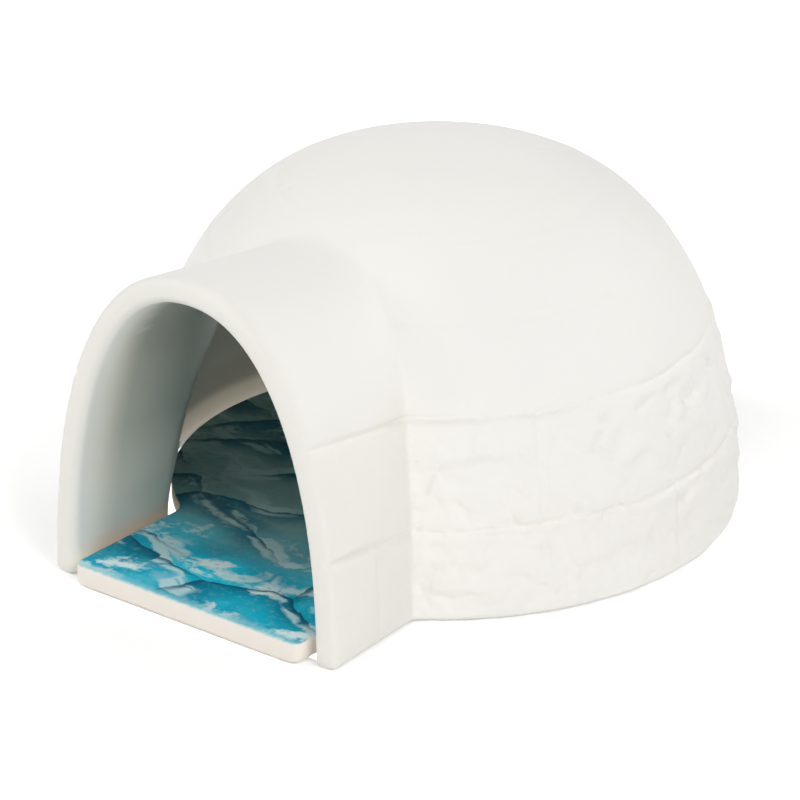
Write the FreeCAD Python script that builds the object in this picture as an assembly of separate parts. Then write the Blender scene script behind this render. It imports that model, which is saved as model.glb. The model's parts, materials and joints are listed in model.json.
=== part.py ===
import FreeCAD, Part
import math
import os
from FreeCAD import Vector

# A small-pet igloo in two ceramic pieces: a slip-cast shell, which is a dome with
# an arched entrance tunnel, and a flat floor plate that lies loose inside it.
# Millimetres and degrees. +Z is up, the origin is on the floor under the crown
# of the dome, and the entrance faces -Y. Angles round the dome start at the
# entrance and grow towards +X.

# Dome, whose outline is a superellipse with a steep flank and a flat crown
dome_radius = 100.0
dome_height = 119.0
dome_flank_power = 2.94
dome_crown_power = 2.06
dome_wall = 6.5

# Entrance tunnel, measured at its mouth: how far it stands out in front of the
# dome, how far its roof stays under the crown, and its wall. Its sides flare, its
# roof rises and its wall thickens towards the mouth by these angles.
tunnel_length = 26.0
mouth_drop = 4.0
mouth_half_width = 58.0
mouth_wall = 8.5
tunnel_flare = 3.2
tunnel_roof_rise = 7.1
tunnel_wall_taper = 2.3
arch_flank_power = 2.25
arch_crown_power = 2.2

# The lip of the mouth and the foot are rounded by this share of their wall
edge_rounding = 0.34

# Ice blocks: the seams between the courses as shares of the dome's height, where
# the two lowest seams reach the mouth as shares of its height, and the angles of
# the upright joints in each course. The tunnel's joint is placed between the dome
# and the mouth.
seam_shares = [0.252, 0.546, 0.765, 0.92]
mouth_seam_shares = [0.309, 0.626]
cap_seam_radius = 26.0
course_joints = [
    [67, 89, 128, 163, 204, 240, 275, 303],
    [58, 101, 142, 181, 222, 262, 301],
    [87, 125, 168, 206, 245, 284],
    [58, 112, 160, 208, 256, 305],
    [33, 95, 150, 210, 265, 320],
]
tunnel_joint_share = 0.42
block_bulge = 0.5
groove_width = 3.0
groove_depth = 1.0

# Floor plate: a disc inside the dome with a tongue that fills the way in. It is
# as long as the shell, and it is drawn out of the mouth a little.
plate_thickness = 7.4
plate_rim_gap = 8.0
plate_tongue_gap = 3.3
plate_drawn_out = 4.2
plate_corner_round = 4.0
plate_neck_round = 8.0
plate_foot_bevel = 1.8
plate_top_bevel = 0.6

# How finely the round outlines are divided
course_steps = [3, 3, 3, 2, 1]
cap_steps = 2
cavity_steps = 9
arch_steps = 16
round_steps = 3

cut_margin = 5.0
mouth_reach = dome_radius + tunnel_length
mouth_height = dome_height - mouth_drop
up = Vector(0, 0, 1)
origin = Vector(0, 0, 0)


def superellipse_point(turn, width, height, flank_power, crown_power):
    """(out, rise) of a quarter outline: turn 0 is its foot and a right angle its crown."""
    out = width * max(math.cos(turn), 0.0) ** (2.0 / flank_power)
    rise = height * math.sin(turn) ** (2.0 / crown_power)
    return out, rise


def turn_at(share, crown_power):
    """The turn at which a quarter outline has risen by a share of its height."""
    return math.asin(share ** (0.5 * crown_power))


def turns_between(low, high, steps):
    return [low + (high - low) * step / steps for step in range(steps + 1)]


def foot_points(out, radius, floor=0.0):
    """A rounded corner from the floor up to a wall. A negative radius rounds its inner side."""
    points = []
    for step in range(round_steps):
        turn = 0.5 * math.pi * step / round_steps
        points.append((out - radius * (1.0 - math.sin(turn)), floor + abs(radius) * (1.0 - math.cos(turn))))
    return points


def dome_skin(turn, proud=0.0):
    """A point of the dome's outside, with its outward direction, both as (out, rise)."""
    out, rise = superellipse_point(turn, dome_radius, dome_height, dome_flank_power, dome_crown_power)
    lean = (out / dome_radius) ** (dome_flank_power - 1.0) * dome_flank_power / dome_radius
    lift = (rise / dome_height) ** (dome_crown_power - 1.0) * dome_crown_power / dome_height
    normal = (lean / math.hypot(lean, lift), lift / math.hypot(lean, lift))
    return (out + proud * normal[0], rise + proud * normal[1]), normal


def course_turns():
    """Where the courses of blocks start and end on the dome's outline."""
    cap_share = (1.0 - (cap_seam_radius / dome_radius) ** dome_flank_power) ** (1.0 / dome_crown_power)
    return [0.0] + [turn_at(share, dome_crown_power) for share in seam_shares + [cap_share]]


def courses():
    """The skin of each course from its lower to its upper seam, bulging in the middle."""
    turns = course_turns()
    skins = []
    for low, high, steps in zip(turns[:-1], turns[1:], course_steps):
        skin = []
        for step, turn in enumerate(turns_between(low, high, steps)):
            skin.append(dome_skin(turn, block_bulge * math.sin(math.pi * step / steps)))
        skins.append(skin)
    return skins


def seam_points(place):
    """A V-shaped notch across the dome's outline."""
    (out, rise), normal = place
    half = 0.5 * groove_width
    lower = (out + half * normal[1], rise - half * normal[0])
    bottom = (out - groove_depth * normal[0], rise - groove_depth * normal[1])
    upper = (out - half * normal[1], rise + half * normal[0])
    return [lower, bottom, upper]


def turned_solid(outline):
    """A solid of revolution under an outline from the floor to the crown."""
    points = [Vector(0, out, rise) for out, rise in outline]
    foot = Vector(0, 0, points[0].z)
    return Part.Face(Part.makePolygon([foot] + points + [foot])).revolve(origin, up, 360)


def dome_outside():
    outline = foot_points(dome_radius, edge_rounding * dome_wall)
    for skin in courses():
        outline += [point for point, normal in skin[1:-1]]
        outline += seam_points(skin[-1])
    cap = turns_between(course_turns()[-1], 0.5 * math.pi, cap_steps)
    outline += [dome_skin(turn)[0] for turn in cap[1:]]
    return turned_solid(outline)


def dome_cavity():
    radius = dome_radius - dome_wall
    height = dome_height - dome_wall
    foot = edge_rounding * dome_wall
    outline = foot_points(radius, -foot)
    outline.insert(0, (outline[0][0], -cut_margin))
    low = turn_at(foot / height, dome_crown_power)
    for turn in turns_between(low, 0.5 * math.pi, cavity_steps):
        outline.append(superellipse_point(turn, radius, height, dome_flank_power, dome_crown_power))
    return turned_solid(outline)


def grown(size, y, angle):
    """A size at the mouth, made smaller towards the dome by the angle of its wall."""
    return size - (y + mouth_reach) * math.tan(math.radians(angle))


def wall_at(y):
    return grown(mouth_wall, y, tunnel_wall_taper)


def arch_wire(y, inset, foot, floor=0.0):
    """An arch across the tunnel, an inset inside its skin. A negative foot is a space's."""
    half_width = grown(mouth_half_width, y, tunnel_flare) - inset
    height = grown(mouth_height, y, tunnel_roof_rise) - inset
    right = foot_points(half_width, foot, floor)
    if foot < 0:
        right.insert(0, (right[0][0], -cut_margin))
    low = turn_at((floor + abs(foot)) / height, arch_crown_power)
    for turn in turns_between(low, 0.5 * math.pi, arch_steps):
        right.append(superellipse_point(turn, half_width, height, arch_flank_power, arch_crown_power))
    outline = right + [(-out, rise) for out, rise in reversed(right[:-1])]
    points = [Vector(out, y, rise) for out, rise in outline]
    return Part.makePolygon(points + [points[0]])


def lip_stations():
    """(y, inset) steps of the mouth's rounded lip, from its front to the plain wall."""
    radius = edge_rounding * mouth_wall
    stations = []
    for step in range(round_steps + 1):
        turn = 0.5 * math.pi * step / round_steps
        stations.append((radius * (1.0 - math.cos(turn)) - mouth_reach, radius * (1.0 - math.sin(turn))))
    return stations


def tunnel_outside():
    arches = []
    for y, inset in lip_stations():
        arches.append(arch_wire(y, inset, edge_rounding * mouth_wall, inset))
    arches.append(arch_wire(0.0, 0.0, edge_rounding * wall_at(0.0)))
    return Part.makeLoft(arches, True, True)


def tunnel_space():
    stations = lip_stations()
    stations.insert(0, (-mouth_reach - cut_margin, stations[0][1]))
    stations.append((0.0, 0.0))
    arches = []
    for y, flare in stations:
        arches.append(arch_wire(y, wall_at(y) - flare, -edge_rounding * wall_at(y)))
    return Part.makeLoft(arches, True, True)


def vee_cutter(stations, across):
    """A V-shaped groove along (point, outward direction) stations on a surface."""
    sections = []
    for point, normal in stations:
        top = point + normal * groove_depth
        half = across * groove_width
        corners = [point - normal * groove_depth, top + half, top - half]
        sections.append(Part.makePolygon(corners + [corners[0]]))
    return Part.makeLoft(sections, True, True)


def turned_out(pair, angle):
    """An (out, rise) pair as a vector, at an angle round the dome."""
    turn = math.radians(angle)
    return Vector(pair[0] * math.sin(turn), -pair[0] * math.cos(turn), pair[1])


def arch_half_width(y, height):
    """The tunnel's outer half width at a height, or zero above its roof."""
    share = min(height / grown(mouth_height, y, tunnel_roof_rise), 1.0)
    return grown(mouth_half_width, y, tunnel_flare) * (1.0 - share ** arch_crown_power) ** (1.0 / arch_flank_power)


def crease_angle(turn):
    """The angle round the dome at which its outline, at a turn, runs into the tunnel."""
    (radius, height), _ = dome_skin(turn)
    x = 0.0
    for _ in range(12):
        x = min(arch_half_width(-math.sqrt(radius ** 2 - x ** 2), height), radius)
    return math.degrees(math.asin(x / radius))


def joint_cutters():
    """Upright joints between the blocks, left out where the tunnel covers the dome."""
    cutters = []
    for skin, low, angles in zip(courses(), course_turns(), course_joints):
        clear = crease_angle(low) + math.degrees(groove_width / dome_radius)
        for angle in angles:
            if not clear < angle < 360.0 - clear:
                continue
            stations = [(turned_out(point, angle), turned_out(normal, angle)) for point, normal in skin]
            if low == 0:
                foot, normal = stations[0]
                stations.insert(0, (foot - up * cut_margin, normal))
            cutters.append(vee_cutter(stations, turned_out((1.0, 0.0), angle + 90.0)))
    return cutters


def tunnel_skin(y, height):
    """A point of the tunnel's right side, with its outward direction."""
    step = 0.5
    rise = Vector(arch_half_width(y, height + step) - arch_half_width(y, height - step), 0, 2.0 * step)
    normal = Vector(rise.z, 0, -rise.x).normalize()
    return Vector(arch_half_width(y, height), y, height), normal


def tunnel_cutters():
    """Seams along the tunnel's sides, and a joint in the lowest course of each side."""
    cutters = []
    for turn, mouth_share in zip(course_turns()[1:], mouth_seam_shares):
        radius, height = dome_skin(turn)[0]
        start = tunnel_skin(-radius * math.cos(math.radians(crease_angle(turn))), height)
        finish = tunnel_skin(-mouth_reach, mouth_share * mouth_height)
        along = (finish[0] - start[0]).normalize()
        beyond = (finish[0] + along * cut_margin, finish[1])
        cutters.append(vee_cutter([start, finish, beyond], start[1].cross(along)))
    crease = -dome_radius * math.cos(math.radians(crease_angle(0.0)))
    joint = crease - tunnel_joint_share * (mouth_reach + crease)
    low_seam = 0.5 * (seam_shares[0] * dome_height + mouth_seam_shares[0] * mouth_height)
    stations = [tunnel_skin(joint, height) for height in (groove_width, 0.5 * low_seam, low_seam)]
    foot, normal = stations[0]
    stations[0] = (foot - up * (groove_width + cut_margin), normal)
    cutters.append(vee_cutter(stations, Vector(0, 1, 0)))
    return cutters + [cutter.mirror(origin, Vector(1, 0, 0)) for cutter in cutters]


def igloo_shell():
    outside = dome_outside().fuse(tunnel_outside())
    inside = dome_cavity().fuse(tunnel_space())
    return outside.cut(inside).cut(joint_cutters() + tunnel_cutters()).removeSplitter().Solids[0]


def arc(first, middle, last):
    return Part.Arc(first, middle, last).toShape()


def keyhole_wire():
    """The plate's outline: a disc, a tongue with round corners and a hollow neck between."""
    radius = dome_radius - dome_wall - plate_rim_gap
    half_width = mouth_half_width - mouth_wall - plate_tongue_gap
    centre = Vector(0, -plate_drawn_out, 0)
    front = -mouth_reach - plate_drawn_out
    reach = radius + plate_neck_round
    neck_x = half_width + plate_neck_round
    neck = Vector(neck_x, centre.y - math.sqrt(reach ** 2 - neck_x ** 2), 0)
    touch = centre + (neck - centre) * (radius / reach)
    inward = (centre - neck).normalize() + Vector(-1, 0, 0)
    hollow = neck + inward.normalize() * plate_neck_round
    side = Vector(half_width, neck.y, 0)
    corner = Vector(half_width - plate_corner_round, front + plate_corner_round, 0)
    side_end = Vector(half_width, corner.y, 0)
    round_middle = corner + Vector(1, -1, 0).normalize() * plate_corner_round
    front_end = Vector(corner.x, front, 0)

    def left(point):
        return Vector(-point.x, point.y, point.z)

    return Part.Wire([
        arc(touch, centre + Vector(0, radius, 0), left(touch)),
        arc(left(touch), left(hollow), left(side)),
        Part.makeLine(left(side), left(side_end)),
        arc(left(side_end), left(round_middle), left(front_end)),
        Part.makeLine(left(front_end), front_end),
        arc(front_end, round_middle, side_end),
        Part.makeLine(side_end, side),
        arc(side, hollow, touch),
    ])


def floor_plate():
    plate = Part.Face(keyhole_wire()).extrude(up * plate_thickness)
    for level, bevel in ((0.0, plate_foot_bevel), (plate_thickness, plate_top_bevel)):
        edges = [edge for edge in plate.Edges if abs(edge.BoundBox.Center.z - level) < 0.1 * plate_thickness]
        plate = plate.makeChamfer(bevel, edges)
    return plate.Solids[0]


def main():
    os.makedirs("parts", exist_ok=True)
    igloo_shell().exportStep("parts/igloo_shell.step")
    floor_plate().exportStep("parts/floor_plate.step")


main()
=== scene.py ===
import json
import math
import bpy
import numpy as np
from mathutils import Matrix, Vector, noise

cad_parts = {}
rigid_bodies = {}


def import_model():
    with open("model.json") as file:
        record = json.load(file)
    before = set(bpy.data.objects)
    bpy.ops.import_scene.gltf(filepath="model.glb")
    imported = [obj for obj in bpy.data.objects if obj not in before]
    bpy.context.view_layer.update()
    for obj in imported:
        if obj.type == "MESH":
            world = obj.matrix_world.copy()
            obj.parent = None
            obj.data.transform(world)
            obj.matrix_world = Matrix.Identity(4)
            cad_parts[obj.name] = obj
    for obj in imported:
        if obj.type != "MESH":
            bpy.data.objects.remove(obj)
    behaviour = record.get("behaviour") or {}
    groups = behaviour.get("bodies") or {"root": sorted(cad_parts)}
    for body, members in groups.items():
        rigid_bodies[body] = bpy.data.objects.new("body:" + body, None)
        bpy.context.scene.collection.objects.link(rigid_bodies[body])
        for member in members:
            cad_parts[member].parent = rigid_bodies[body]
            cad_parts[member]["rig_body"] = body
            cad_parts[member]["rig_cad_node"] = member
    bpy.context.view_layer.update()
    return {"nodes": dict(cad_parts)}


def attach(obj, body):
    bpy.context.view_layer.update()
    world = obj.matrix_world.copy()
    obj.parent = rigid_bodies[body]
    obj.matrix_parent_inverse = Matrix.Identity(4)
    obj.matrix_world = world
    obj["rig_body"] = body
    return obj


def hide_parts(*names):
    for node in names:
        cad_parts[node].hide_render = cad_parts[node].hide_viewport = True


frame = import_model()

# A ceramic igloo for a small pet, on a white table: a white cast shell over a loose
# floor plate with an ice print. Its sizes are in millimetres until a mesh is made, and
# the camera, the table and the lamps are placed in metres.

mm = 0.001


def lengthAlong(first, second):
    return np.sqrt(first * first + second * second)


# nothing below low, one above high, eased in between
def easedStep(low, high, value):
    share = np.clip((value - low) / (high - low), 0.0, 1.0)
    return share * share * (3.0 - 2.0 * share)


def onlySelect(obj):
    bpy.ops.object.select_all(action="DESELECT")
    obj.select_set(True)
    bpy.context.view_layer.objects.active = obj


def applyModifier(obj, kind, **settings):
    onlySelect(obj)
    modifier = obj.modifiers.new(kind.lower(), kind)
    for name, value in settings.items():
        setattr(modifier, name, value)
    bpy.ops.object.modifier_apply(modifier=modifier.name)


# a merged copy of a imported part, to work on
def copyOfNode(node, name):
    onlySelect(frame["nodes"][node])
    bpy.ops.object.duplicate()
    obj = bpy.context.view_layer.objects.active
    obj.name = name
    obj.data.name = name
    obj.parent = None
    bpy.ops.object.mode_set(mode="EDIT")
    bpy.ops.mesh.select_all(action="SELECT")
    bpy.ops.mesh.remove_doubles(threshold=0.00001)
    bpy.ops.object.mode_set(mode="OBJECT")
    obj.data.materials.clear()
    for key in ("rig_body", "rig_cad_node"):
        if key in obj:
            del obj[key]
    return obj


def meshPoints(obj):
    points = np.zeros(len(obj.data.vertices) * 3)
    obj.data.vertices.foreach_get("co", points)
    return points.reshape(-1, 3) / mm


def setMeshPoints(obj, points):
    obj.data.vertices.foreach_set("co", (points * mm).ravel())
    obj.data.update()


def selectFaces(obj, chosen):
    onlySelect(obj)
    bpy.ops.object.mode_set(mode="EDIT")
    bpy.ops.mesh.select_mode(type="FACE")
    bpy.ops.mesh.select_all(action="DESELECT")
    bpy.ops.object.mode_set(mode="OBJECT")
    for face in obj.data.polygons:
        face.select = all(chosen[index] for index in face.vertices)
    bpy.ops.object.mode_set(mode="EDIT")


# Camera: a long lens, a little above the igloo and to the right of its entrance
cameraSettings = {
    "place": (0.8361, -1.0735, 0.6403),
    "down": 24.10,     # degrees below level
    "round": 38.45,    # degrees round from the entrance
    "lens": 202.7, "sensor": 36,
    "farthest": 50,
}
bpy.ops.object.camera_add(location=cameraSettings["place"])
camera = bpy.context.object
camera.rotation_euler = (
    math.radians(90 - cameraSettings["down"]), 0, math.radians(cameraSettings["round"]))
camera.data.lens = cameraSettings["lens"]
camera.data.sensor_width = cameraSettings["sensor"]
camera.data.clip_end = cameraSettings["farthest"]
bpy.context.scene.camera = camera
print("camera placed")


# The shell's form, as in the part's source, with the soft corners of a slip casting
shell = {
    "domeRadius": 100.0, "domeHeight": 119.0, "flankPower": 2.94, "crownPower": 2.06, "domeWall": 6.5,
    "mouthReach": 126.0, "mouthHalfWidth": 58.0, "mouthHeight": 115.0, "mouthWall": 8.5,
    "flare": 3.2, "roofRise": 7.1, "wallTaper": 2.3, "archFlank": 2.25, "archCrown": 2.2,
    "creaseRound": 1.8, "innerCreaseRound": 3.0, "lipRound": 2.9, "footRound": 2.2,
    "tunnelBack": -40.0,   # where the tunnel's form ends inside the dome
    "webDepth": 5.5,       # how much thicker the tunnel's wall is inside, where it meets the dome
    "webAlong": (-118, -78), "webFoot": (4, 34), "webTop": (88, 60),    # where that eases in, in y and z
    "creaseBack": -45,     # the crease beside the tunnel lies in front of this
    "grain": 1.22,         # edge length of the mesh outside and in the tunnel
    "cavityShare": 0.08,   # share of the faces kept inside the dome
    "crownShare": 0.38,    # and on the smooth crown, above crownFrom
    "crownFrom": 84.0,
    "cavitySkin": 1.6, "cavityFront": -66, "cavityFoot": 4,    # what counts as inside the dome
    "fineBand": 2.0,       # how far to each side of a seam or crease the mesh is twice as fine
}


# distance outside a superellipse, good near its outline
def superellipseGap(out, rise, width, height, flankPower, crownPower):
    acrossShare = np.maximum(out / width, 1e-6)
    upShare = np.maximum(rise / height, 1e-6)
    level = acrossShare ** flankPower + upShare ** crownPower
    slopeOut = flankPower / width * acrossShare ** (flankPower - 1)
    slopeUp = crownPower / height * upShare ** (crownPower - 1)
    steepness = np.sqrt(slopeOut ** 2 + slopeUp ** 2)
    return (level - 1.0) / np.maximum(steepness, 0.3 / np.minimum(width, height))


def roundUnion(first, second, radius):
    return np.maximum(radius, np.minimum(first, second)) - lengthAlong(
        np.maximum(radius - first, 0), np.maximum(radius - second, 0))


def roundCut(first, second, radius):
    return np.minimum(-radius, np.maximum(first, second)) + lengthAlong(
        np.maximum(radius + first, 0), np.maximum(radius + second, 0))


def taper(size, y, angle):
    return size - (y + shell["mouthReach"]) * math.tan(math.radians(angle))


def domeGap(points, inset=0.0):
    return superellipseGap(
        lengthAlong(points[:, 0], points[:, 1]), points[:, 2],
        shell["domeRadius"] - inset, shell["domeHeight"] - inset, shell["flankPower"], shell["crownPower"])


def tunnelGap(points, inset=0.0):
    y = points[:, 1]
    return superellipseGap(
        np.abs(points[:, 0]), points[:, 2],
        taper(shell["mouthHalfWidth"], y, shell["flare"]) - inset,
        taper(shell["mouthHeight"], y, shell["roofRise"]) - inset, shell["archFlank"], shell["archCrown"])


def outsideGap(points):
    tunnel = np.maximum(tunnelGap(points), points[:, 1] - shell["tunnelBack"])
    return roundUnion(domeGap(points), tunnel, shell["creaseRound"])


def insideGap(points):
    x, y, z = points.T
    wall = taper(shell["mouthWall"], y, shell["wallTaper"])
    web = shell["webDepth"] * easedStep(*shell["webAlong"], y)
    web = web * easedStep(*shell["webFoot"], z) * easedStep(*shell["webTop"], z)
    space = np.maximum(tunnelGap(points, wall + web), y - shell["tunnelBack"])
    return roundUnion(domeGap(points, shell["domeWall"]), space, shell["innerCreaseRound"])


# distance outside the whole casting
def shellGap(points):
    wall = np.maximum(outsideGap(points), -insideGap(points))
    lip = roundCut(wall, -points[:, 1] - shell["mouthReach"], shell["lipRound"])
    return roundCut(lip, -points[:, 2], shell["footRound"])


def slopeOf(gap, points):
    step = 0.05
    slope = np.zeros_like(points)
    for axis in range(3):
        shift = np.zeros(3)
        shift[axis] = step
        slope[:, axis] = (gap(points + shift) - gap(points - shift)) / (2 * step)
    return slope


def outwardDirection(points):
    slope = slopeOf(outsideGap, points)
    return slope / np.maximum(np.sqrt((slope ** 2).sum(1)), 1e-6)[:, None]


# moves points onto the surface where the gap is nothing
def settle(points, gap, passes):
    for _ in range(passes):
        slope = slopeOf(gap, points)
        size = np.maximum((slope ** 2).sum(1), 0.05)
        step = gap(points) / size
        points = points - slope * np.clip(step, -1.5, 1.5)[:, None]
    return points


# one on the tunnel and nothing on the dome. The tunnel's form has no end here, so the
# stretch of the dome's back where it would come out again counts as tunnel too
def tunnelShare(points):
    return easedStep(-2.0, 2.0, domeGap(points) - tunnelGap(points))


# The ice blocks: courses parted by soft grooves, and chipped faces that fade upwards
blocks = {
    "seams": [30.0, 65.0, 91.0, 109.5], "mouthSeams": [35.5, 72.0], "capRadius": 26.0,
    "joints": [
        [67, 89, 128, 163, 204, 240, 275, 303],
        [58, 101, 142, 181, 222, 262, 301],
        [87, 125, 168, 206, 245, 284],
        [58, 112, 160, 208, 256, 305],
        [33, 95, 150, 210, 265, 320],
    ],
    "tunnelJoint": -101.0,
    "seamWidth": 1.0, "seamDepth": 1.1,
    "jointWidth": 0.9, "jointDepth": 0.75, "creaseWidth": 1.5, "creaseDepth": 0.9,
    "climbFrom": 80.0,     # how far in front of the dome's middle the tunnel's seams start to climb
    "bends": ((0.7, 23.0, 3.1), (0.3, 7.0, 8.7)),    # share, size and seed of what bends the seams
    "wander": 0.6, "jointWander": 0.8,               # and how far it moves them
    "wear": (0.85, 0.9, 31.0, 5.3),    # a seam's usual depth, how that changes, and its size and seed
    "faintJoints": {67: 0.3, 101: 0.45, 87: 0.35, 112: 0.5, 95: 0.4},    # worn ones, and their share
    "browRise": 0.45, "browWidth": 2.2, "browBelow": 2.4,    # how a block swells below its upper seam
    "chipSize": (13.0, 13.0, 8.5), "chipTilt": 3.8, "chipInset": 0.3,
    "flakeSize": (5.5, 5.5, 3.8), "flakeTilt": 1.4,
    "warp": 2.5, "warpSize": 11.0,         # what bends the chips' edges
    "chipLow": 52.0, "chipHigh": 78.0,     # chips fade out between these heights
}


# soft noise from -1 to 1 with lumps of a size in mm
def noiseAt(points, size, seed):
    return np.array([noise.noise(Vector((x / size + seed, y / size, z / size))) for x, y, z in points])


def groove(distance, width):
    return np.exp(-(distance / width) ** 2)


# a small flat of its own tilt for each cell, with soft steps between the flats
def chippedFlats(points, size, tilt):
    heights = np.zeros(len(points))
    for index, place in enumerate(points / np.array(size)):
        distances, centres = noise.voronoi(Vector(place))
        flats = []
        for centre in centres[:2]:
            lean = noise.cell_vector(centre * 37.0) - Vector((0.5, 0.5, 0.5))
            flats.append(lean.dot(Vector(place) - centre) + 0.12 * lean.x)
        share = min((distances[1] - distances[0]) / 0.3, 1.0)
        share = 0.5 + 0.5 * share * share * (3.0 - 2.0 * share)
        heights[index] = flats[0] * share + flats[1] * (1.0 - share)
    return tilt * heights


# the heights of the seams at each point, from the floor up
def seamLevels(points, wander):
    y, z = points[:, 1], points[:, 2]
    climb = (-y - blocks["climbFrom"]) / (shell["mouthReach"] - blocks["climbFrom"])
    toMouth = np.clip(climb, 0, 1) * tunnelShare(points)
    levels = [np.zeros_like(z)]
    for number, seam in enumerate(blocks["seams"]):
        rise = blocks["mouthSeams"][number] - seam if number < 2 else 0.0
        levels.append(seam + rise * toMouth + blocks["wander"] * wander)
    return levels


# how far the blocks stand out from the plain shell
def relief(points, outward):
    x, y, z = points.T
    radius = lengthAlong(x, y)
    angle = np.degrees(np.arctan2(x, -y)) % 360
    onTunnel = tunnelShare(points)
    steep = np.maximum(np.sqrt(1 - np.clip(outward[:, 2], -1, 1) ** 2), 0.15)
    wander = sum(share * noiseAt(points, size, seed) for share, size, seed in blocks["bends"])
    usual, change, size, seed = blocks["wear"]
    worn = np.clip(usual + change * noiseAt(points, size, seed), 0.25, 1.2)
    fade = (1 - 0.72 * easedStep(68, 86, z)) * worn
    jointFade = (1 - 0.6 * easedStep(66, 86, z)) * np.clip(worn, 0.75, 1.2)
    levels = seamLevels(points, wander)
    height = np.zeros_like(z)
    for number, level in enumerate(levels[1:]):
        deeper = 1 + onTunnel * np.where(x > 0, 0.8, -0.5) if number < 2 else 1 - onTunnel
        above = (z - level) / steep
        height -= blocks["seamDepth"] * fade * deeper * groove(above, blocks["seamWidth"])
        brow = groove(above + blocks["browBelow"], blocks["browWidth"])
        height += blocks["browRise"] * fade * (1 - 0.6 * onTunnel) * brow
    ring = radius - blocks["capRadius"] + blocks["wander"] * wander
    height -= 0.5 * blocks["seamDepth"] * fade * groove(ring, blocks["seamWidth"]) * (z > 100)
    for number, angles in enumerate(blocks["joints"]):
        low = levels[number]
        high = levels[number + 1] if number < 4 else np.full_like(z, 117.0)
        within = easedStep(-1.0, 1.0, z - low) * easedStep(-1.0, 1.0, high - z) * (1 - onTunnel)
        for joint in angles:
            apart = (angle - joint + 180) % 360 - 180
            across = np.radians(apart) * radius + blocks["jointWander"] * wander
            depth = blocks["jointDepth"] * blocks["faintJoints"].get(joint, 1.0)
            height -= depth * jointFade * within * groove(across, blocks["jointWidth"])
    crease = groove(domeGap(points) - tunnelGap(points), blocks["creaseWidth"])
    crease = crease * easedStep(78, 50, z) * (y < shell["creaseBack"])
    height -= blocks["creaseDepth"] * crease
    lowest = easedStep(-1.0, 1.0, levels[1] - z) * onTunnel
    upright = groove(y - blocks["tunnelJoint"] + wander, blocks["jointWidth"])
    height -= 0.6 * blocks["jointDepth"] * lowest * upright
    return height


def chips(points):
    z = points[:, 2]
    low = np.nonzero(z < blocks["chipHigh"])[0]
    share = easedStep(blocks["chipHigh"], blocks["chipLow"], z[low]) * (1 - 0.75 * tunnelShare(points[low]))
    shifts = [noiseAt(points[low], blocks["warpSize"], seed) for seed in (1.7, 6.1, 9.4)]
    warped = points[low] + blocks["warp"] * np.stack(shifts, axis=1)
    height = np.zeros(len(points))
    flats = chippedFlats(warped, blocks["chipSize"], blocks["chipTilt"])
    flats += chippedFlats(warped, blocks["flakeSize"], blocks["flakeTilt"]) - blocks["chipInset"]
    height[low] = share * np.where(flats > 0, 0.5 * flats, flats)
    return height


# keeps only a share of the faces around the chosen points
def thinOut(obj, chosen, share):
    group = obj.vertex_groups.new(name="thin")
    group.add([int(index) for index in np.nonzero(chosen)[0]], 1.0, "REPLACE")
    kept = 1 - chosen.mean() * (1 - share)
    applyModifier(obj, "DECIMATE", ratio=kept, vertex_group="thin", vertex_group_factor=1.0)
    obj.vertex_groups.clear()


def addAttribute(obj, name, values):
    layer = obj.data.attributes.new(name, "FLOAT", "POINT")
    layer.data.foreach_set("value", np.asarray(values, dtype=np.float32))


# where the outside has a seam or the crease beside the tunnel
def fineParts(points):
    outward = outwardDirection(points)
    steep = np.maximum(np.sqrt(1 - np.clip(outward[:, 2], -1, 1) ** 2), 0.15)
    outside = np.abs(outsideGap(points)) < 0.3
    near = np.zeros(len(points), dtype=bool)
    for level in seamLevels(points, np.zeros(len(points)))[1:3]:
        near |= np.abs(points[:, 2] - level) / steep < shell["fineBand"]
    crease = np.abs(domeGap(points) - tunnelGap(points)) < shell["fineBand"]
    crease &= points[:, 1] < shell["creaseBack"]
    return outside & (near | crease)


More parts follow.
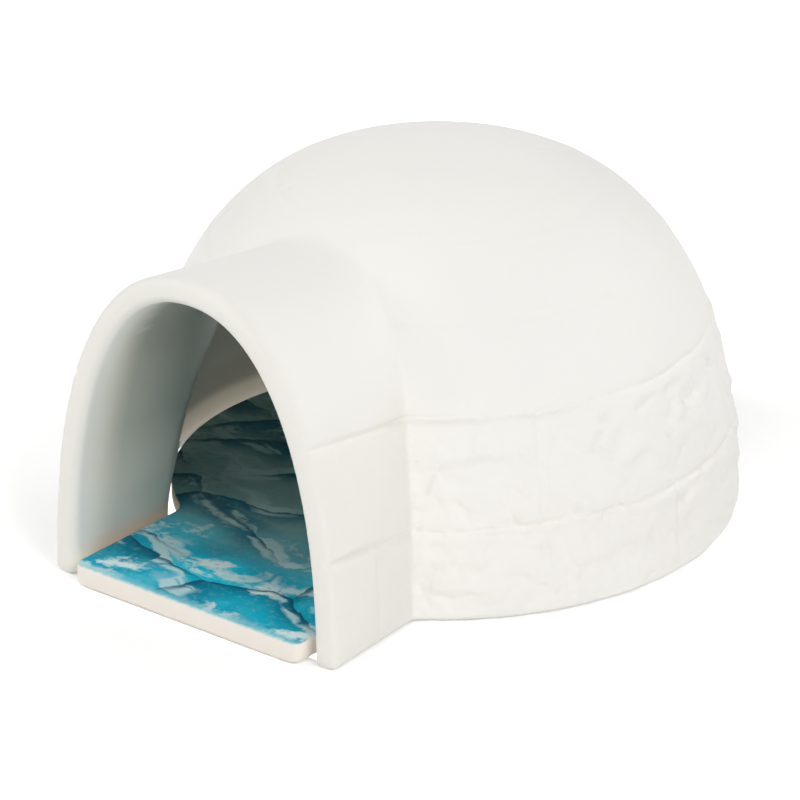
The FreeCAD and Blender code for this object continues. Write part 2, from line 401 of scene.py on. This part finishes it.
def makeShell():
    obj = copyOfNode("igloo_shell", "castShell")
    applyModifier(obj, "REMESH", mode="VOXEL", voxel_size=shell["grain"] * mm)
    points = meshPoints(obj)
    cavity = (insideGap(points) < shell["cavitySkin"]) & (points[:, 1] > shell["cavityFront"])
    cavity &= points[:, 2] > shell["cavityFoot"]
    print("shell remeshed,", len(points), "points,", int(cavity.sum()), "of them inside the dome")
    thinOut(obj, cavity, shell["cavityShare"])
    thinOut(obj, meshPoints(obj)[:, 2] > shell["crownFrom"], shell["crownShare"])
    setMeshPoints(obj, settle(meshPoints(obj), shellGap, 4))
    applyModifier(obj, "SMOOTH", factor=0.5, iterations=4)
    points = settle(meshPoints(obj), shellGap, 4)
    setMeshPoints(obj, points)
    selectFaces(obj, fineParts(points))
    bpy.ops.mesh.subdivide(number_cuts=1)
    bpy.ops.object.mode_set(mode="OBJECT")
    points = settle(meshPoints(obj), shellGap, 2)
    outer = easedStep(-2.4, -0.4, outsideGap(points)) * (0.3 + 0.7 * easedStep(0.5, 4.0, points[:, 2]))
    outward = outwardDirection(points)
    faces = np.nonzero(outer > 0.001)[0]
    height = np.zeros(len(points))
    height[faces] = (relief(points[faces], outward[faces]) + chips(points[faces])) * outer[faces]
    grounded = easedStep(0.0, 0.6, points[:, 2])
    points = points + outward * (height * grounded)[:, None]
    setMeshPoints(obj, points)
    print("shell carved, triangles:", sum(len(face.vertices) - 2 for face in obj.data.polygons))
    # the inside's colours fade in over the first 17 mm behind the mouth: painted light that keeps the mouth
    # as light as the outside
    inside = easedStep(2.4, 0.2, insideGap(points))
    addAttribute(obj, "inside", inside * easedStep(1.0, 17.0, points[:, 1] + shell["mouthReach"]))
    # painted shade: the tunnel's outer sides low down, and the mouth's lip, get a slightly darker, warmer
    # colour
    side = tunnelShare(points) * easedStep(90, 55, points[:, 2])
    lip = easedStep(-121, -125.5, points[:, 1])
    addAttribute(obj, "paintedSideShade", np.maximum(side, lip))
    addAttribute(obj, "deep", easedStep(-86, -62, points[:, 1]))
    onlySelect(obj)
    bpy.ops.object.shade_smooth()
    return obj


# The floor plate: a pressed tile, crisp above and rounded below
tile = {
    "thickness": 7.4, "discRadius": 86.1, "drawnOut": 4.2, "front": -130.2, "halfWidth": 46.2,
    "cornerRound": 4.0, "neckRound": 8.0, "topRound": 0.7, "footRound": 2.2,
    "cornerSteps": 9, "rimSteps": 84, "smoothAngle": 32,
}


def arcPoints(centre, radius, start, end, count):
    turns = np.radians(np.linspace(start, end, count))
    return [(centre[0] + radius * math.sin(turn), centre[1] - radius * math.cos(turn)) for turn in turns]


# the right half from the front to the back, then its mirror image
def tileOutline():
    half, corner, neck = tile["halfWidth"], tile["cornerRound"], tile["neckRound"]
    reach = tile["discRadius"] + neck
    neckX = half + neck
    neckAngle = math.degrees(math.asin(neckX / reach))
    neckY = -tile["drawnOut"] - reach * math.cos(math.radians(neckAngle))
    right = [(half * share, tile["front"]) for share in (0.0, 0.3, 0.6)]
    right += arcPoints((half - corner, tile["front"] + corner), corner, 0, 90, tile["cornerSteps"])
    sideFrom, sideTo = tile["front"] + corner, neckY
    right += [(half, sideFrom + (sideTo - sideFrom) * share) for share in (0.25, 0.5, 0.75)]
    right += arcPoints((neckX, neckY), neck, -90, -180 + neckAngle, tile["cornerSteps"])
    right += arcPoints((0, -tile["drawnOut"]), tile["discRadius"], neckAngle, 180, tile["rimSteps"])[1:]
    left = [(-x, y) for x, y in reversed(right[1:-1])]
    return right + left


def makeTile():
    outline = tileOutline()
    bpy.ops.object.select_all(action="DESELECT")
    bpy.ops.mesh.primitive_circle_add(
        vertices=len(outline), radius=tile["discRadius"] * mm, fill_type="NGON")
    obj = bpy.context.object
    obj.name = "printedTile"
    obj.data.name = "printedTile"
    for vertex, (x, y) in zip(obj.data.vertices, outline):
        vertex.co = (x * mm, y * mm, 0)
    bpy.ops.object.mode_set(mode="EDIT")
    bpy.ops.mesh.select_all(action="SELECT")
    bpy.ops.mesh.extrude_region_move(TRANSFORM_OT_translate={"value": (0, 0, tile["thickness"] * mm)})
    bpy.ops.mesh.select_all(action="SELECT")
    bpy.ops.mesh.normals_make_consistent(inside=False)
    for height, radius, segments in ((0, tile["footRound"], 5), (tile["thickness"], tile["topRound"], 3)):
        bpy.ops.mesh.select_mode(type="EDGE")
        bpy.ops.mesh.select_all(action="DESELECT")
        bpy.ops.object.mode_set(mode="OBJECT")
        points = obj.data.vertices
        for edge in obj.data.edges:
            edge.select = all(abs(points[index].co.z / mm - height) < 0.01 for index in edge.vertices)
        bpy.ops.object.mode_set(mode="EDIT")
        bpy.ops.mesh.bevel(offset=radius * mm, segments=segments, profile=0.5, affect="EDGES")
    bpy.ops.object.mode_set(mode="OBJECT")
    bpy.ops.object.shade_smooth_by_angle(angle=math.radians(tile["smoothAngle"]))
    return obj


# Materials
def linearColour(hexValue):
    channels = [int(hexValue[start:start + 2], 16) / 255 for start in (1, 3, 5)]
    return [c / 12.92 if c <= 0.04045 else ((c + 0.055) / 1.055) ** 2.4 for c in channels] + [1.0]


# adds a node: its fields, then its inputs, each a number, a colour or another node's output
def addNode(material, kind, inputs=None, **fields):
    node = material.node_tree.nodes.new("ShaderNode" + kind)
    for name, value in fields.items():
        setattr(node, name, value)
    for name, value in (inputs or {}).items():
        if isinstance(value, bpy.types.NodeSocket):
            material.node_tree.links.new(value, node.inputs[name])
        else:
            node.inputs[name].default_value = linearColour(value) if isinstance(value, str) else value
    return node


def newMaterial(name):
    material = bpy.data.materials.new(name)
    material.use_nodes = True
    material.node_tree.nodes.clear()
    return material


# the inputs of a Mix node of colours, and its output
mixShare, mixFirst, mixSecond, mixResult = 0, 6, 7, 2

# White earthenware, slip cast and fired once without glaze: chalky and quite matt,
# off-white with a faint warm cloud. Its inside is painted greyer as painted shade, and lighter or darker by
# height and depth as painted light and shade
ceramic = {
    # the third colour here is painted shade, for the tunnel's outer sides and the mouth's lip
    "body": "#f7f6f2", "warm": "#f6f3ed", "sideShadeTone": "#f1efe8",
    # inside the tunnel: the grey is painted shade, lighter towards the mouth as painted light, and darker
    # towards its inner end as painted shade
    "tunnel": "#b5b7ab", "tunnelMouthLight": "#ede7d9", "tunnelEndShade": "#9da29a",
    # lower on the tunnel's wall it is lighter, painted light bounced up from the tile, and warm at the very
    # bottom, a painted glow from the table
    "tunnelLowBounce": "#d1d0c5", "tunnelFootGlow": "#d2c3b2",
    # inside the dome: darker low down as painted shade, and a pale band at the very bottom, just above the
    # tile's rim, as painted light
    "cavity": "#f4f1e6", "cavityLowShade": "#cfccc0", "cavityFoot": "#fbf4e6",
    "roughness": 0.65,
    "noises": {"cloud": (60.0, 3.0), "swell": (6.5, 3.0), "grain": (0.8, 2.0)},    # size and detail
}


def makeCeramic():
    material = newMaterial("mattWhiteEarthenware")
    place = addNode(material, "TexCoord").outputs["Object"]
    split = addNode(material, "SeparateXYZ", {"Vector": place})
    height, along = split.outputs["Z"], split.outputs["Y"]
    noises = {}
    for name, (size, detail) in ceramic["noises"].items():
        noises[name] = addNode(material, "TexNoise", {
            "Vector": place, "Scale": 1 / (size * mm), "Detail": detail}).outputs["Fac"]
    masks = {}
    # marks from the shell: the first is where the tunnel's sides and the lip get painted shade
    for name in ("paintedSideShade", "deep", "inside"):
        masks[name] = addNode(material, "Attribute", attribute_name=name).outputs["Fac"]
    # more masks: what each follows, where it is nothing and full, in mm, and how much that is
    for name, (value, low, high, most) in {
        # all six set where the inside's painted light and shade go, by depth along the tunnel and by height
        "back": (along, -110, -84, 1.0),
        "ahead": (along, -106, -121, 1.0),
        "tileBounce": (height, 48, 16, 0.9),
        "foot": (height, 11.5, 6, 1.0),
        "paintedRimLight": (height, 11.5, 8.5, 1.0),
        "higher": (height, 13, 22, 1.0),
    }.items():
        masks[name] = addNode(material, "MapRange", {
            "Value": value, "From Min": low * mm, "From Max": high * mm, "To Max": most}).outputs["Result"]
    # each surface's colours, laid one over the other: the warm cloud is the clay's own tone, and all the
    # other layers are painted light and shade
    surfaces = {}
    for name, first, layers in (
        ("outside", "body", ((noises["cloud"], "warm"), (masks["paintedSideShade"], "sideShadeTone"))),
        ("tunnel", "tunnel", ((masks["back"], "tunnelEndShade"), (masks["tileBounce"], "tunnelLowBounce"),
                              (masks["ahead"], "tunnelMouthLight"), (masks["foot"], "tunnelFootGlow"))),
        ("cavity", "cavityLowShade", ((masks["higher"], "cavity"), (masks["paintedRimLight"], "cavityFoot"))),
    ):
        colour = ceramic[first]
        for share, tone in layers:
            colour = addNode(material, "Mix", {mixShare: share, mixFirst: colour, mixSecond: ceramic[tone]},
                             data_type="RGBA").outputs[mixResult]
        surfaces[name] = colour
    inner = addNode(material, "Mix", {mixShare: masks["deep"], mixFirst: surfaces["tunnel"],
                                      mixSecond: surfaces["cavity"]}, data_type="RGBA").outputs[mixResult]
    colour = addNode(material, "Mix", {mixShare: masks["inside"], mixFirst: surfaces["outside"],
                                       mixSecond: inner}, data_type="RGBA").outputs[mixResult]
    # the plaster mould leaves a fine tooth and slight swells
    tooth = addNode(material, "Bump", {"Height": noises["grain"], "Strength": 0.12, "Distance": 0.1 * mm})
    surface = addNode(material, "Bump", {"Height": noises["swell"], "Normal": tooth.outputs["Normal"],
                                         "Strength": 0.25, "Distance": 0.4 * mm})
    shader = addNode(material, "BsdfPrincipled", {"Base Color": colour, "Normal": surface.outputs["Normal"],
                                                  "Roughness": ceramic["roughness"], "IOR": 1.45})
    addNode(material, "OutputMaterial", {"Surface": shader.outputs[0]})
    return material


# A matt ceramic tile: ice slabs printed on the top and fired in, turquoise in front and
# grey-green at the back, with frost between and over them, and bare cream clay round the sides
ice = {
    "cyan": "#12c6e2", "blue": "#0f97b4", "teal": "#62c8d4", "deep": "#08718e", "pale": "#bfe0e4",
    "frost": "#e2efed", "line": "#0a5c74", "floe": "#a3bfba", "floeDeep": "#4a7f88", "feather": "#92dbe6",
    "clay": "#f8f1e8", "clayDark": "#f6eee4", "roughness": 0.6,
    "slabSize": 44.0, "slabTurn": -14, "slabStretch": (0.68, 1.25, 0.0), "crackleSize": 9, "grainSize": 0.9,
    "bends": ((34.0, 8.0), (5.0, 1.5)),    # size and reach of what bends the outlines
    "crumbReach": 3.6, "edgeShift": 1.3, "edgeBlur": 0.9,    # how ragged the print's front edge is
    # size, detail, roughness and distortion of each noise
    "noises": {"tone": (30, 3, 0.5, 0.3), "mottle": (9, 6, 0.62, 0.5), "smear": (15, 4, 0.5, 0.8),
               "ragged": (19, 6, 0.55, 0.4), "crumbs": (2.4, 6, 0.7, 0.0)},
}


def makeIcePrint():
    material = newMaterial("printedMattTile")
    place = addNode(material, "TexCoord").outputs["Object"]
    split = addNode(material, "SeparateXYZ", {"Vector": place})
    # outlines wander and are jagged: the place is shifted by a coarse and a fine noise
    moved = place
    for size, reach in ice["bends"]:
        wave = addNode(material, "TexNoise", {"Vector": place, "Scale": 1 / (size * mm), "Detail": 3.0})
        shift = addNode(material, "VectorMath", {0: wave.outputs["Color"], 1: (0.5, 0.5, 0.5)},
                        operation="SUBTRACT")
        shift = addNode(material, "VectorMath", {0: shift.outputs["Vector"], "Scale": 2 * reach * mm},
                        operation="SCALE")
        moved = addNode(material, "VectorMath", {0: moved, 1: shift.outputs["Vector"]}).outputs["Vector"]
    flat = addNode(material, "Mapping", {"Vector": moved, "Rotation": (0, 0, math.radians(ice["slabTurn"])),
                                         "Scale": ice["slabStretch"]}).outputs["Vector"]
    slabs = addNode(material, "TexVoronoi", {"Vector": flat, "Scale": 1 / (ice["slabSize"] * mm)})
    edges = addNode(material, "TexVoronoi", {"Vector": flat, "Scale": 1 / (ice["slabSize"] * mm)},
                    feature="DISTANCE_TO_EDGE").outputs["Distance"]
    crackle = addNode(material, "TexVoronoi", {"Vector": moved, "Scale": 1 / (ice["crackleSize"] * mm)},
                      feature="DISTANCE_TO_EDGE").outputs["Distance"]
    chance = addNode(material, "SeparateColor", {"Color": slabs.outputs["Color"]})
    fromMiddle = addNode(material, "VectorMath", {0: flat, 1: slabs.outputs["Position"]},
                         operation="SUBTRACT")
    away = addNode(material, "SeparateXYZ", {"Vector": fromMiddle.outputs["Vector"]}).outputs["Y"]
    noises = {}
    for name, (size, detail, roughness, distortion) in ice["noises"].items():
        noises[name] = addNode(material, "TexNoise", {
            "Vector": place if name == "crumbs" else flat, "Scale": 1 / (size * mm), "Detail": detail,
            "Roughness": roughness, "Distortion": distortion}).outputs["Fac"]
    ragged = addNode(material, "Math", {0: noises["crumbs"], 1: -ice["crumbReach"] * mm,
                                        2: -(tile["front"] - ice["edgeShift"]) * mm},
                     operation="MULTIPLY_ADD").outputs[0]
    inset = addNode(material, "Math", {0: ragged, 1: split.outputs["Y"]}, operation="ADD").outputs[0]
    crumbly = addNode(material, "Math", {0: noises["crumbs"], 1: 0.16, 2: noises["ragged"]},
                      operation="MULTIPLY_ADD").outputs[0]
    # masks: what each follows, where it is nothing, where it is full, and how much that is
    half = 0.5 * ice["slabSize"] * mm
    masks = {}
    for name, (value, low, high, most) in {
        "tone": (noises["tone"], 0.40, 0.60, 1.0),
        "mottle": (noises["mottle"], 0.46, 0.64, 0.8),
        "smear": (noises["smear"], 0.55, 0.68, 0.85),
        "near": (away, 0.30 * half, -0.5 * half, 1.0),
        "far": (away, -0.1 * half, 0.4 * half, 1.0),
        "farBand": (edges, 0.26, 0.05, 0.95),
        "gap": (edges, 0.10, 0.075, 0.85),
        "gapHere": (noises["smear"], 0.50, 0.56, 1.0),
        "line": (edges, 0.045, 0.015, 0.85),
        "frost": (crumbly, 0.635, 0.71, 0.9),
        "flecks": (noises["crumbs"], 0.43, 0.36, 0.6),
        "fleckHere": (noises["ragged"], 0.46, 0.54, 1.0),
        "front": (split.outputs["Y"], -62 * mm, -88 * mm, 1.0),
        "hair": (crackle, 0.06, 0.01, 0.3),
        "hairHere": (noises["ragged"], 0.54, 0.60, 1.0),
        "grain": (noises["crumbs"], 0.52, 0.74, 0.22),
        "back": (split.outputs["Y"], -100 * mm, -60 * mm, 0.85),
        "haze": (split.outputs["Y"], -96 * mm, -52 * mm, 0.30),
        "feather": (inset, 4.2 * mm, 0.4 * mm, 0.85),
        "onTop": (split.outputs["Z"], (tile["thickness"] - 0.45) * mm, (tile["thickness"] - 0.1) * mm, 1.0),
        "behindEdge": (inset, -ice["edgeBlur"] * mm, ice["edgeBlur"] * mm, 1.0),
    }.items():
        masks[name] = addNode(material, "MapRange", {"Value": value, "From Min": low, "From Max": high,
                                                     "To Max": most}).outputs["Result"]
    # colours laid one over the other, each where both its masks are
    colour = linearColour(ice["cyan"])
    for first, second, tone in (
        (masks["tone"], 1.0, ice["blue"]),
        (masks["mottle"], chance.outputs["Red"], ice["teal"]),
        (masks["back"], 1.0, ice["floe"]),
        (masks["smear"], masks["near"], ice["pale"]),
        (masks["farBand"], masks["far"], ice["deep"]),
        (masks["grain"], 1.0, ice["pale"]),
        (masks["gap"], masks["gapHere"], ice["pale"]),
        (masks["frost"], masks["front"], ice["frost"]),
        (masks["hair"], masks["hairHere"], ice["frost"]),
        (masks["flecks"], masks["fleckHere"], ice["blue"]),
        (masks["line"], masks["far"], ice["line"]),
        (masks["haze"], 1.0, ice["floeDeep"]),
        (masks["feather"], 1.0, ice["feather"]),
    ):
        share = addNode(material, "Math", {0: first, 1: second}, operation="MULTIPLY").outputs[0]
        colour = addNode(material, "Mix", {mixShare: share, mixFirst: colour, mixSecond: tone},
                         data_type="RGBA").outputs[mixResult]
    printed = addNode(material, "Math", {0: masks["onTop"], 1: masks["behindEdge"]},
                      operation="MULTIPLY").outputs[0]
    clay = addNode(material, "Mix", {mixShare: noises["mottle"], mixFirst: ice["clay"],
                                     mixSecond: ice["clayDark"]}, data_type="RGBA").outputs[mixResult]
    colour = addNode(material, "Mix", {mixShare: printed, mixFirst: clay, mixSecond: colour},
                     data_type="RGBA").outputs[mixResult]
    grain = addNode(material, "TexNoise", {
        "Vector": place, "Scale": 1 / (ice["grainSize"] * mm), "Detail": 3.0}).outputs["Fac"]
    tooth = addNode(material, "Bump", {"Height": grain, "Strength": 0.15, "Distance": 0.1 * mm})
    shader = addNode(material, "BsdfPrincipled", {"Base Color": colour, "Normal": tooth.outputs["Normal"],
                                                  "Roughness": ice["roughness"], "Specular IOR Level": 0.1})
    addNode(material, "OutputMaterial", {"Surface": shader.outputs[0]})
    return material


castShell = makeShell()
castShell.data.materials.append(makeCeramic())
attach(castShell, "root")
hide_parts("igloo_shell")
print("shell made")

printedTile = makeTile()
printedTile.data.materials.append(makeIcePrint())
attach(printedTile, "root")
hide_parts("floor_plate")
print("tile made")

# Table and light: a white lit table, which also glows where the igloo stands over it
stage = {
    "table": "#ffffff", "tableSize": 8, "drop": 0.0002,
    # the eye sees this much light of its own, growing to white between these places
    "lift": 0.20, "clearFrom": 0.14, "clearTo": 0.5,
    "glow": 0.29, "glowRadius": 93.0, "glowHalfWidth": 48.0, "glowFront": -122.0,    # in mm
    "sky": 0.28, "lampAim": (0, 0, 0.05),
}


# one for what the eye sees, straight, mirrored or through, and nothing for what only lights
def seenRays(material):
    path = addNode(material, "LightPath")
    seen = addNode(material, "Math", {0: path.outputs["Is Camera Ray"], 1: path.outputs["Is Glossy Ray"]},
                   operation="MAXIMUM")
    return addNode(material, "Math", {0: seen.outputs[0], 1: path.outputs["Is Transmission Ray"]},
                   operation="MAXIMUM").outputs[0]


def makeTableWhite():
    material = newMaterial("whiteTable")
    matt = addNode(material, "BsdfDiffuse", {"Color": stage["table"]})
    place = addNode(material, "TexCoord").outputs["Object"]
    split = addNode(material, "SeparateXYZ", {"Vector": place})
    fromAxis = addNode(material, "VectorMath", {0: place}, operation="LENGTH").outputs["Value"]
    underDome = addNode(material, "Math", {0: fromAxis, 1: stage["glowRadius"] * mm}, operation="LESS_THAN")
    aside = addNode(material, "Math", {0: split.outputs["X"]}, operation="ABSOLUTE").outputs[0]
    between = addNode(material, "Math", {0: aside, 1: stage["glowHalfWidth"] * mm}, operation="LESS_THAN")
    behind = addNode(material, "Math", {0: split.outputs["Y"], 1: stage["glowFront"] * mm},
                     operation="GREATER_THAN")
    ahead = addNode(material, "Math", {0: split.outputs["Y"], 1: 0.0}, operation="LESS_THAN")
    way = addNode(material, "Math", {0: between.outputs[0], 1: behind.outputs[0]}, operation="MULTIPLY")
    way = addNode(material, "Math", {0: way.outputs[0], 1: ahead.outputs[0]}, operation="MULTIPLY")
    under = addNode(material, "Math", {0: underDome.outputs[0], 1: way.outputs[0]},
                    operation="MAXIMUM").outputs[0]
    glow = addNode(material, "Math", {0: under, 1: stage["glow"]}, operation="MULTIPLY").outputs[0]
    far = addNode(material, "MapRange", {"Value": fromAxis, "From Min": stage["clearFrom"],
                                         "From Max": stage["clearTo"]}).outputs["Result"]
    bare = addNode(material, "Math", {0: far, 1: under}, operation="MAXIMUM").outputs[0]
    lift = addNode(material, "Math", {0: bare, 1: 1 - stage["lift"], 2: stage["lift"]},
                   operation="MULTIPLY_ADD").outputs[0]
    light = addNode(material, "Math", {0: seenRays(material), 1: lift, 2: glow}, operation="MULTIPLY_ADD")
    bright = addNode(material, "Emission", {"Strength": light.outputs[0]})
    both = addNode(material, "AddShader", {0: matt.outputs[0], 1: bright.outputs[0]})
    addNode(material, "OutputMaterial", {"Surface": both.outputs[0]})
    return material


bpy.ops.mesh.primitive_plane_add(size=stage["tableSize"], location=(0, 0, -stage["drop"]))
table = bpy.context.object
table.name = "table"
table.data.materials.append(makeTableWhite())

lightSettings = [
    # name, place, size, watts
    ("softRight", (2.45, -1.1, 1.8), 1.2, 36),
    ("softLeft", (-2.6, -1.5, 1.6), 1.2, 36),
    ("softHigh", (0.3, -1.8, 2.6), 1.2, 13),
    ("softFront", (1.6, -2.6, 1.9), 1.2, 5),
    ("softBack", (0.4, 2.3, 2.3), 1.2, 24),
]
for name, place, size, watts in lightSettings:
    bpy.ops.object.light_add(type="AREA", location=place)
    lamp = bpy.context.object
    lamp.name = name
    lamp.data.size = size
    lamp.data.energy = watts
    lamp.rotation_euler = (Vector(stage["lampAim"]) - Vector(place)).to_track_quat("-Z", "Y").to_euler()

world = bpy.context.scene.world or bpy.data.worlds.new("studio")
bpy.context.scene.world = world
world.use_nodes = True
shown = addNode(world, "Math", {0: seenRays(world), 1: stage["sky"]}, operation="MAXIMUM")
world.node_tree.links.new(shown.outputs[0], world.node_tree.nodes["Background"].inputs["Strength"])
world.node_tree.nodes["Background"].inputs["Color"].default_value = (1, 1, 1, 1)
bpy.context.scene.view_settings.view_transform = "Standard"
print("table and light set")
